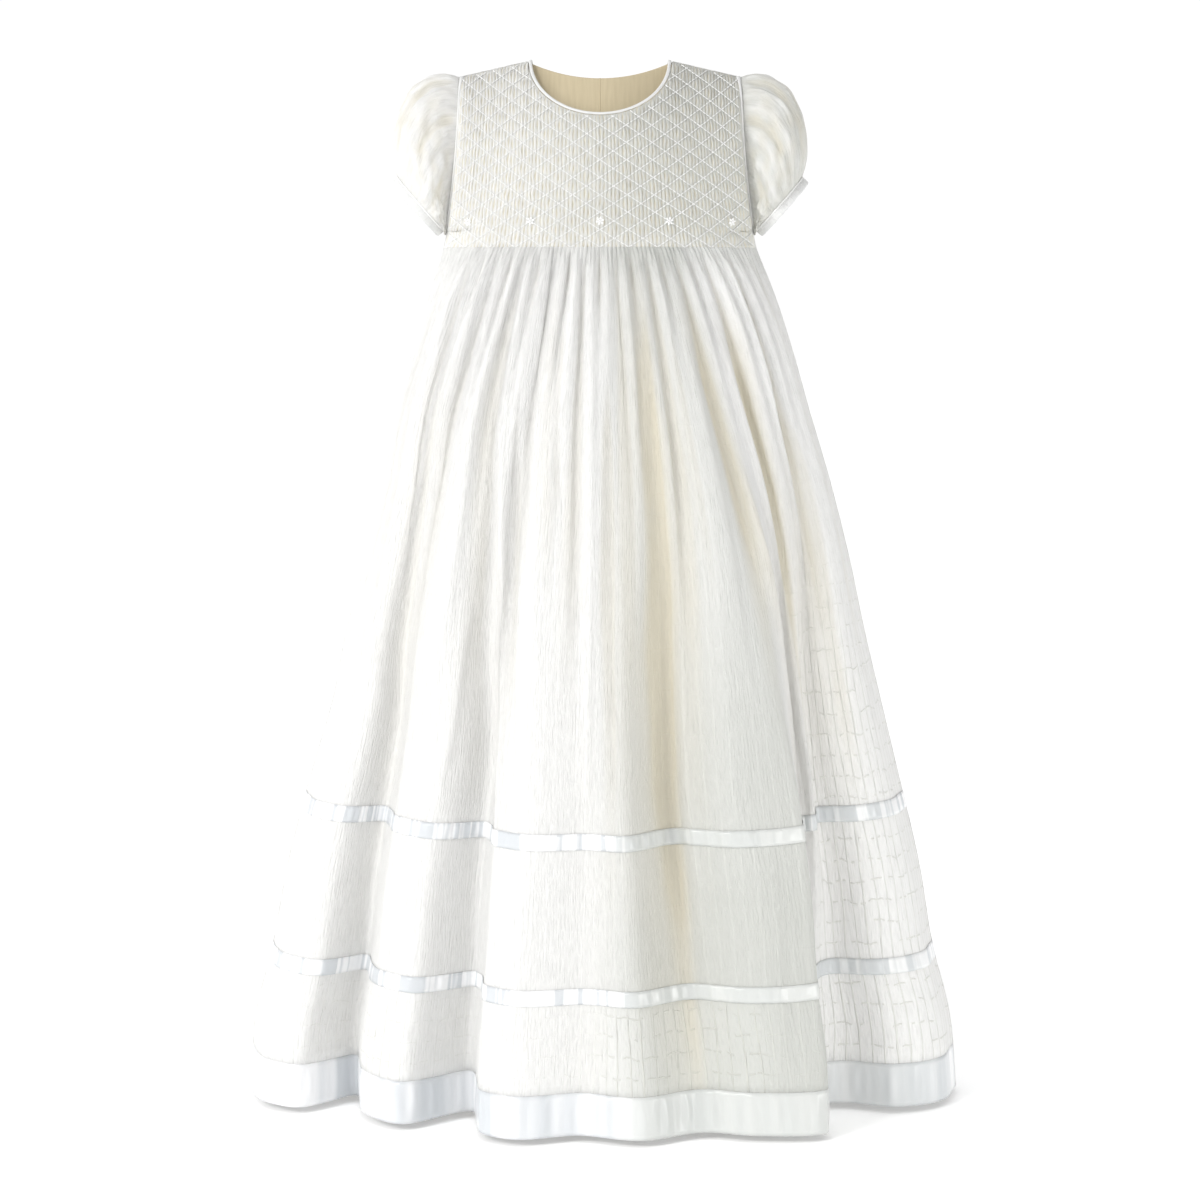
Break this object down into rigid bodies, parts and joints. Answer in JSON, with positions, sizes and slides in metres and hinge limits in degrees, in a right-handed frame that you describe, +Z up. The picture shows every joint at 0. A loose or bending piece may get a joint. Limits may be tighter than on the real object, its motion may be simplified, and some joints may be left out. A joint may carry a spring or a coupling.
{
  "type": "christening gown on a limbless dress form",
  "caption": "Long white christening gown with a smocked front, puffed sleeves, satin ribbons and hem band, worn by a linen-covered limbless dress form on a hidden pole and round base.",
  "frame": {"origin": "on the floor, at the middle of the underside of the round base", "axes": "+Z up, from the hem to the neck; -Y to the front of the gown, which faces the camera; +X to the wearer's left, the right side of the picture"},
  "size_m": [0.535, 0.3676, 0.7766],
  "materials": {
    "sheer_cotton": "sheer ivory-white cotton voile with a woven windowpane of thicker threads",
    "satin": "cool white satin with soft broken reflections",
    "form_linen": "tan linen, matt, plain weave",
    "stand_paint": "warm grey paint, satin",
    "pearl_button": "small pearly button, glossy"
  },
  "bodies": {
    "root": {"front_panel": "sheer_cotton", "back_skirt": "sheer_cotton", "back_yoke_right": "sheer_cotton", "back_yoke_left": "sheer_cotton", "sleeve_right": "sheer_cotton", "sleeve_left": "sheer_cotton", "cuff_right": "sheer_cotton", "cuff_left": "sheer_cotton", "neck_binding": "sheer_cotton", "back_placket": "sheer_cotton", "button_1": "pearl_button", "button_2": "pearl_button", "button_3": "pearl_button", "hem_band_front": "satin", "hem_band_back": "satin", "ribbon_upper_front": "satin", "ribbon_upper_back": "satin", "ribbon_lower_front": "satin", "ribbon_lower_back": "satin", "dress_form": "form_linen", "form_pole": "stand_paint", "form_base": "stand_paint"}
  },
  "joints": []
}
